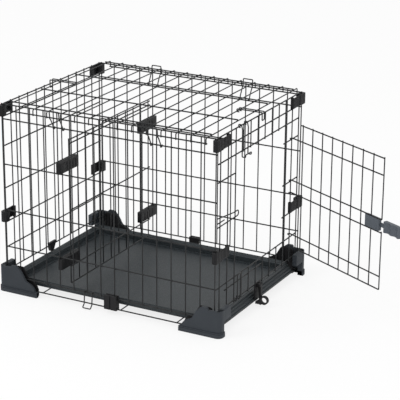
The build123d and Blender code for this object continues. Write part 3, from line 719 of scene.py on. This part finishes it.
# door at its open angle: uprights, two plain level wires and four that curl round the hinge wire
door = {
    "open": 62.5,
    "hingeY": 173.25 * mm,
    "first": 36.5 * mm,
    "count": 9,
    "rails": [93.5, 126.7, 237.4, 270.5, 380.5, 422.0],
    "curl": 3.6 * mm,
    "over": 2.5 * mm,
}
doorSwing = Matrix.Rotation(math.radians(door["open"] - 90), 4, "Z")
doorTurn = Matrix.Translation((sideX, door["hingeY"], 0)) @ doorSwing
doorStep = (cage["sidePitch"], 0, 0)
curlR = door["curl"]
doorWire = curlR + cross
doorLow = door["rails"][0] * mm - railR
doorHigh = door["rails"][-1] * mm + railR


def doorS(j):
    return door["first"] + j * cage["sidePitch"]


farS = doorS(door["count"] - 1)
doorUpright = rod((doorS(0), doorWire, doorLow), (doorS(0), doorWire, doorHigh), wireR)
doorParts = [addArray(doorUpright, door["count"] - 1, doorStep)]
for below, above in ((0, 2), (3, 5)):
    z0 = door["rails"][below] * mm - railR
    z1 = door["rails"][above] * mm + railR
    doorParts.append(rod((farS, doorWire, z0), (farS, doorWire, z1), wireR))
for n, height in enumerate(door["rails"]):
    z = height * mm
    if n in (0, 5):
        doorParts.append(rod((doorS(0) - door["over"], curlR, z), (farS + door["over"], curlR, z), railR))
    else:
        spots = [(farS + door["over"], curlR), (-curlR, curlR), (-curlR, -curlR), (curlR * 0.9, -curlR)]
        doorParts.append(bentRod([(u, v, z) for u, v in spots], curlR * 0.97, railR, 3))
    spot = nugget((doorS(0), curlR + cross * bead["outer"], z), bead["door"])
    doorParts.append(addArray(spot, door["count"], doorStep))
doorGrid = joined(doorParts)
doorGrid.data.transform(doorTurn)
finishPiece([doorGrid], "doorGrid", wireLook, "door", "door_panel")

# door latch: grooved base on the door and a sliding grip with two finger hollows
latch = {
    "s": (287.0 * mm, 337.5 * mm),
    "n": (2.2 * mm, 13.0 * mm),
    "z": (239.45 * mm, 268.45 * mm),
    "gripS": (351.85 * mm, 407.85 * mm),
    "gripN": (4.2 * mm, 16.0 * mm),
    "hollows": (0.28, 0.72),
    "hollowR": 15.0 * mm,
    "hollowDepth": 4.5 * mm,
    "tail": (330.85 * mm, 9.55 * mm, 11.25 * mm, 5.65 * mm),
    "slot": (9.2 * mm, 11.6 * mm, 6.0 * mm),
    "grooveStep": 6.0 * mm,
    "grooveW": 1.4 * mm,
    "grooveD": 0.7 * mm,
    "baseBend": 2.4 * mm,
    "gripBend": 3.0 * mm,
}
s0, s1 = latch["s"]
n0, n1 = latch["n"]
z0, z1 = latch["z"]
midZ = (z0 + z1) / 2
latchBase = slab(softOutline([(s0, n0), (s1, n0), (s1, n1), (s0, n1)], latch["baseBend"]), z0, z1)
grooves = []
for k in (1, 2, 3):
    start = s0 + k * latch["grooveStep"]
    low = (start, n1 - latch["grooveD"], z0 - mm)
    grooves.append(block(low, (start + latch["grooveW"], n1 + mm, z1 + mm)))
latchBase = cut(latchBase, joined(grooves))
slotLow, slotHigh, slotHalf = latch["slot"]
slot = block((s0 + 2 * mm, slotLow, midZ - slotHalf), (s1 + mm, slotHigh, midZ + slotHalf))
latchBase = cut(latchBase, slot)
wireHole = rod((doorS(7), doorWire, z0 - mm), (doorS(7), doorWire, z1 + mm), wireR + 0.35 * mm)
latchBase = bevel(cut(latchBase, wireHole), 0.45 * mm)
latchBase.data.transform(doorTurn)
finishPiece([latchBase], "latchBase", latchLook, "door", "door_latch_base")

g0, g1 = latch["gripS"]
m0, m1 = latch["gripN"]
gripOutline = softOutline([(g0, m0), (g1, m0), (g1, m1), (g0, m1)], latch["gripBend"])
grip = slab(gripOutline, z0 + mm, z1 - mm)
for hollow in latch["hollows"]:
    x = g0 + hollow * (g1 - g0)
    y = m0 - latch["hollowR"] + latch["hollowDepth"]
    grip = cut(grip, rod((x, y, z0 - mm), (x, y, z1 + mm), latch["hollowR"], 40))
grip = bevel(grip, 0.9 * mm, 3)
tailS, tailLow, tailHigh, tailHalf = latch["tail"]
tongue = bevel(block((tailS, tailLow, midZ - tailHalf), (g0 + mm, tailHigh, midZ + tailHalf)), 0.3 * mm)
gripWhole = joined([grip, tongue])
gripWhole.data.transform(doorTurn)
finishPiece([gripWhole], "latchGrip", latchLook, "door_latch", "door_latch_grip")
print("door and floor frame done")

# corner clips: fluted barrel round the corner wires, ribbed plate and a grip on the next upright
clipSizes = {
    "height": 27.0 * mm,
    "high": 457.65 * mm,
    "low": 184.95 * mm,
    "near": 239.25 * mm,
    "corner": 292.5 * mm,
    "barrelW": 14.0 * mm,
    "barrelIn": 6.5 * mm,
    "barrelBend": 0.8,
    "fluteR": 1.3 * mm,
    "endFluteR": 1.2 * mm,
    "fluteOut": 0.3 * mm,
    "plateT": 2.0 * mm,
    "plateGap": 0.4 * mm,
    "gripHalf": 4.5 * mm,
    "ribCount": 5,
    "ribHalf": 1.1 * mm,
    "ribEnd": 1.5 * mm,
    "ribX": (1.6 * mm, 2.6 * mm),
}
clipKinds = {
    "left": {"sx": -1, "wireX": 298.0 * mm, "first": 226.25 * mm, "second": 188.542 * mm},
    "right": {"sx": 1, "wireX": 294.5 * mm, "first": 211.75 * mm, "second": 173.25 * mm},
}


def upDown(x, y, radius, sides):
    return rod((x, y, -mm), (x, y, clipSizes["height"] + mm), radius, sides)


def cornerClip(kind):
    wireX = kind["wireX"]
    first = kind["first"]
    second = kind["second"]
    height = clipSizes["height"]
    half = (clipSizes["barrelW"] + wireX - sideX) / 2
    mid = (clipSizes["corner"] + wireX) / 2
    far = first - clipSizes["barrelIn"]
    near = clipSizes["near"]
    bend = half * clipSizes["barrelBend"]
    outline = [(mid - half, far), (mid + half, far), (mid + half, near), (mid - half, near)]
    barrel = slab(softOutline(outline, bend), 0, height)
    flutes = []
    run = near - far - 2 * bend
    count = 3 if run > 12 * mm else 2
    for n in range(count):
        y = far + bend + run * (n + 0.5) / count
        flutes.append(upDown(mid + half + clipSizes["fluteOut"], y, clipSizes["fluteR"], 12))
    for u in (-0.45, 0.45):
        flutes.append(upDown(mid + u * half, near + clipSizes["fluteOut"], clipSizes["endFluteR"], 12))
    barrel = bevel(cut(barrel, joined(flutes)), 0.35 * mm, 2, 40)
    plateX = wireX + wireR + clipSizes["plateGap"]
    grip = clipSizes["gripHalf"]
    end = second - grip
    plate = bevel(block((plateX, end, 0), (plateX + clipSizes["plateT"], first, height)), 0.3 * mm)
    ribs = []
    ribIn, ribOut = clipSizes["ribX"]
    ribRun = (far - end) / clipSizes["ribCount"]
    for n in range(clipSizes["ribCount"]):
        y = end + ribRun * (n + 0.5)
        low = (plateX + ribIn, y - clipSizes["ribHalf"], clipSizes["ribEnd"])
        high = (plateX + ribOut, y + clipSizes["ribHalf"], height - clipSizes["ribEnd"])
        ribs.append(bevel(block(low, high), 0.3 * mm))
    corners = [
        (wireX - grip, end),
        (wireX + grip, end),
        (wireX + grip, second + grip),
        (wireX - grip, second + grip),
    ]
    gripBlock = bevel(slab(softOutline(corners, 3 * mm), 0, height), 0.4 * mm, 2, 40)
    gripBlock = cut(gripBlock, upDown(wireX, second, wireR + 0.3 * mm, 16))
    return joined([barrel, plate, gripBlock] + ribs)


for kindName, kind in clipKinds.items():
    pattern = cornerClip(kind)
    for wallName, side in (("front", -1), ("back", 1)):
        for level in ("high", "low"):
            twin = mirrored(pattern, kind["sx"], side, clipSizes[level])
            node = "corner_clip_" + wallName + "_" + kindName + "_" + level
            pieceName = "cornerClip" + wallName.title() + kindName.title() + level.title()
            finishPiece([twin], pieceName, clipLook, "frame", node)
    discard(pattern)

# divider clips: two halves with a seam between them and a row of shallow finger hollows
dividerClip = {
    "x": -133.05 * mm,
    "w": 13.0 * mm,
    "near": 238.25 * mm,
    "far": 148.5 * mm,
    "low": 88.05 * mm,
    "high": 335.05 * mm,
    "seamHalf": 0.5 * mm,
    "seamD": 0.8 * mm,
    "hollows": (168.0 * mm, 181.0 * mm, 194.0 * mm, 207.0 * mm),
    "hollowHalf": 3.5 * mm,
    "hollowZ": (4.0 * mm, 23.0 * mm),
    "hollowT": 0.9 * mm,
    "hollowOut": 0.2 * mm,
}
clipX = dividerClip["x"]
clipHalf = dividerClip["w"] / 2
corners = [
    (clipX - clipHalf, dividerClip["far"]),
    (clipX + clipHalf, dividerClip["far"]),
    (clipX + clipHalf, dividerClip["near"]),
    (clipX - clipHalf, dividerClip["near"]),
]
bar = slab(softOutline(corners, clipHalf * 0.95), 0, clipSizes["height"])
seamHalf = dividerClip["seamHalf"]
seamD = dividerClip["seamD"]
seamY = (0.1, 0.3)
flatSeams = []
for z in (0.0, clipSizes["height"]):
    flatSeams.append(block((clipX - seamHalf, seamY[0], z - seamD), (clipX + seamHalf, seamY[1], z + seamD)))
endSeams = []
for end in (dividerClip["far"], dividerClip["near"]):
    high = clipSizes["height"] + mm
    endSeams.append(block((clipX - seamHalf, end - seamD, -mm), (clipX + seamHalf, end + seamD, high)))
bar = cut(cut(bar, joined(flatSeams)), joined(endSeams))
hollows = []
hollowT = dividerClip["hollowT"]
hollowHalf = dividerClip["hollowHalf"]
hollowLow, hollowHigh = dividerClip["hollowZ"]
for side in (-1, 1):
    x = clipX + side * (clipHalf + dividerClip["hollowOut"])
    for y in dividerClip["hollows"]:
        low = (x - hollowT, y - hollowHalf, hollowLow)
        high = (x + hollowT, y + hollowHalf, hollowHigh)
        hollows.append(block(low, high))
bar = bevel(cut(bar, joined(hollows)), 0.35 * mm, 2, 40)
for wallName, side in (("front", -1), ("back", 1)):
    for level in ("low", "high"):
        twin = mirrored(bar, 1, side, dividerClip[level])
        node = "divider_clip_" + wallName + "_" + level
        finishPiece([twin], "dividerClip" + wallName.title() + level.title(), clipLook, "frame", node)
discard(bar)
print("clips done")

# feet: curved shoulder, flared base with a groove, side return, knob and a ribbed inner wall coloured
# near-black as painted shade
foot = {
    "inX": 201.0 * mm,
    "outX": 313.0 * mm,
    "inY": 232.45 * mm,
    "outY": 239.25 * mm,
    "cornerX": 300.2 * mm,
    "cornerY": 218.45 * mm,
    "flare": 2.5 * mm,
    "baseH": 13.0 * mm,
    "top": 67.0 * mm,
    "knob": (278.0 * mm, 73.0 * mm),
    "shoulder": [
        (208.0, 14.0),
        (209.5, 20.0),
        (212.9, 25.0),
        (217.0, 28.8),
        (223.3, 32.0),
        (229.0, 34.4),
        (234.7, 37.7),
        (238.8, 43.5),
        (242.3, 50.7),
        (247.9, 59.7),
        (255.0, 67.5),
        (263.0, 73.0),
    ],
    "returnY": 184.25 * mm,
    "returnZ": 37.4 * mm,
    "returnT": 12.8 * mm,
    "sunk": 0.2 * mm,
    "bend": 12.0 * mm,
    "grooveD": 1.2 * mm,
    "grooveZ": (9.6 * mm, 10.8 * mm),
    "coreZ": (9.0 * mm, 12.0 * mm),
}
footRibs = {
    "x": (206.0, 284.3),
    "start": 12.0,
    "rise": 5.0,
    "top": 69.0,
    "farEdge": [(0.0, 0.0), (0.0, 60.0), (2.0, 66.0), (7.0, 69.0)],
    "steps": 24,
    "stepsEnd": 9.0 * mm,
    "wallY": (221.9 * mm, 224.65 * mm),
    "webY": (222.0 * mm, 232.5 * mm),
    "webH": 10.4 * mm,
    "count": 8,
    "half": 1.0 * mm,
    "ribY": (220.2 * mm, 222.3 * mm),
    "under": 3.0 * mm,
}


def footPlan(grow):
    inX = foot["inX"]
    outX = foot["outX"] + grow
    outY = foot["outY"] + grow
    bend = foot["bend"] + grow
    plan = [(inX, foot["inY"]), (inX, outY)]
    plan += arc(outX - bend, outY - bend, bend, [90 - n * 90 / 8 for n in range(9)])
    plan += [(outX, foot["cornerY"]), (foot["cornerX"], foot["cornerY"]), (foot["cornerX"], foot["inY"])]
    return plan


def makeFoot():
    knobOut, knobTop = foot["knob"]
    body = slab(footPlan(0.0), 0, knobTop)
    side = [(foot["inX"], -mm), (foot["inX"], foot["baseH"])]
    side += [(x * mm, z * mm) for x, z in foot["shoulder"]]
    side += [(knobOut - 2 * mm, knobTop), (knobOut, knobTop - 2 * mm), (knobOut + mm, foot["top"])]
    side += [(foot["outX"] + mm, foot["top"]), (foot["outX"] + mm, -mm)]
    body = cut(body, slab(side, -0.3, -0.1, upTurn), "INTERSECT")
    body = bevel(body, 1.1 * mm, 3, 35)
    base = slab(footPlan(foot["flare"]), 0, foot["baseH"])
    ring = slab(footPlan(foot["flare"] + mm), *foot["grooveZ"])
    core = slab(footPlan(foot["flare"] - foot["grooveD"]), *foot["coreZ"])
    base = cut(base, cut(ring, core))
    base = bevel(base, 0.5 * mm, 2, 35)
    armIn = foot["outX"] - foot["returnT"]
    armOut = foot["outX"] - foot["sunk"]
    armFar = foot["outY"] - foot["sunk"]
    bend = foot["bend"] - foot["sunk"]
    corners = [(armIn, armFar), (armIn, foot["returnY"]), (armOut, foot["returnY"])]
    corners += arc(armOut - bend, armFar - bend, bend, [n * 90 / 8 for n in range(9)])
    arm = slab(corners, foot["returnZ"], foot["top"])
    arm = bevel(arm, 1.1 * mm, 3, 35)
    return joined([body, base, arm])


# the inner wall stands a little higher than the shoulder in front of it
def ribHeight(x):
    start, end = footRibs["x"]
    top = footRibs["top"]
    points = [(start, footRibs["start"])] + foot["shoulder"] + [(end, foot["shoulder"][-1][1])]
    for (x0, z0), (x1, z1) in zip(points, points[1:]):
        if x * 1000 <= x1:
            return min(z0 + (z1 - z0) * (x * 1000 - x0) / (x1 - x0) + footRibs["rise"], top) * mm
    return top * mm


def makeFootRibs():
    low, high = [value * mm for value in footRibs["x"]]
    outline = [(low, 0)] + [(high - u * mm, v * mm) for u, v in footRibs["farEdge"]]
    steps = footRibs["steps"]
    for n in range(steps, -1, -1):
        x = low + (high - footRibs["stepsEnd"] - low) * n / steps
        outline.append((x, ribHeight(x)))
    wallIn, wallOut = footRibs["wallY"]
    wall = bevel(slab(outline, -wallOut, -wallIn, upTurn), 0.5 * mm, 2, 60)
    webIn, webOut = footRibs["webY"]
    parts = [wall, block((low, webIn, 0), (high, webOut, footRibs["webH"]))]
    ribIn, ribOut = footRibs["ribY"]
    half = footRibs["half"]
    for n in range(footRibs["count"]):
        x = low + (high - low) * (n + 0.5) / footRibs["count"]
        rib = block((x - half, ribIn, 0), (x + half, ribOut, ribHeight(x) - footRibs["under"]))
        parts.append(bevel(rib, 0.4 * mm))
    return joined(parts)


footPattern = makeFoot()
ribPattern = makeFootRibs()
for sideName, sx in (("left", -1), ("right", 1)):
    for wallName, sy in (("front", -1), ("back", 1)):
        tag = wallName.title() + sideName.title()
        node = "foot_" + wallName + "_" + sideName
        finishPiece([mirrored(footPattern, sx, sy)], "foot" + tag, footLook, "frame", node)
        # the ribbed inner wall takes the near-black painted-shade copy of the foot plastic
        ribs = finishPiece([mirrored(ribPattern, sx, sy)], "footRibs" + tag, shadedRibLook, "frame")
discard(footPattern)
discard(ribPattern)
print("feet done")

# camera solved from the photograph
camera = {
    "az": 27.9654,
    "el": 19.3571,
    "roll": 0.4651,
    "place": (1.92393, -3.38030, 1.58748),
    "lens": 147.535,
}


def cameraTurn():
    az = math.radians(camera["az"])
    el = math.radians(camera["el"])
    roll = math.radians(camera["roll"])
    back = Vector((math.sin(az) * math.cos(el), -math.cos(az) * math.cos(el), math.sin(el)))
    right = Vector((0, 0, 1)).cross(back).normalized()
    up = back.cross(right)
    turnedRight = right * math.cos(roll) + up * math.sin(roll)
    turnedUp = up * math.cos(roll) - right * math.sin(roll)
    return Matrix((turnedRight, turnedUp, back)).transposed()


cameraData = bpy.data.cameras.new("photoCamera")
cameraData.lens = camera["lens"]
cameraData.sensor_width = 36.0
cameraData.clip_end = 50.0
photoCamera = bpy.data.objects.new("photoCamera", cameraData)
bpy.context.scene.collection.objects.link(photoCamera)
photoCamera.matrix_world = Matrix.Translation(camera["place"]) @ cameraTurn().to_4x4()
bpy.context.scene.camera = photoCamera

# plain white floor and soft studio light
deselect()
bpy.ops.mesh.primitive_plane_add(size=30.0, location=(0, 0, -0.0005))
floor = bpy.context.object
floor.name = "floorPlane"
floorLook = bpy.data.materials.new("studioFloor")
floorLook.use_nodes = True
tree = floorLook.node_tree
shader = tree.nodes["Principled BSDF"]
shader.inputs["Base Color"].default_value = (0.92, 0.92, 0.92, 1.0)
shader.inputs["Roughness"].default_value = 0.9
shader.inputs["Specular IOR Level"].default_value = 0.1
glow = tree.nodes.new("ShaderNodeEmission")
glow.inputs["Color"].default_value = (1.0, 1.0, 1.0, 1.0)
glow.inputs["Strength"].default_value = 1.0
ray = tree.nodes.new("ShaderNodeLightPath")
share = tree.nodes.new("ShaderNodeMixShader")
seen = Sig(tree, ray.outputs["Is Camera Ray"]).math("MAXIMUM", Sig(tree, ray.outputs["Is Glossy Ray"]))
seen = seen.math("MAXIMUM", Sig(tree, ray.outputs["Is Transmission Ray"])) * 0.8
tree.links.new(seen.socket, share.inputs["Fac"])
tree.links.new(shader.outputs["BSDF"], share.inputs[1])
tree.links.new(glow.outputs["Emission"], share.inputs[2])
tree.links.new(share.outputs["Shader"], tree.nodes["Material Output"].inputs["Surface"])
floor.data.materials.append(floorLook)

world = bpy.data.worlds.new("studio")
world.use_nodes = True
world.node_tree.nodes["Background"].inputs["Color"].default_value = (1.0, 1.0, 1.0, 1.0)
world.node_tree.nodes["Background"].inputs["Strength"].default_value = 0.9
bpy.context.scene.world = world
bpy.context.scene.view_settings.view_transform = "Standard"

lamps = {
    "keyLight": ((-1.6, -2.2, 2.6), 30.0, 1.6),
    "fillLight": ((2.6, -1.6, 1.6), 10.0, 1.8),
}
for lampName, (place, power, size) in lamps.items():
    lampData = bpy.data.lights.new(lampName, "AREA")
    lampData.energy = power
    lampData.size = size
    lamp = bpy.data.objects.new(lampName, lampData)
    bpy.context.scene.collection.objects.link(lamp)
    lamp.location = place
    aim = Vector((0.05, 0.0, 0.25)) - Vector(place)
    lamp.rotation_euler = aim.to_track_quat("-Z", "Y").to_euler()
print("stage set")

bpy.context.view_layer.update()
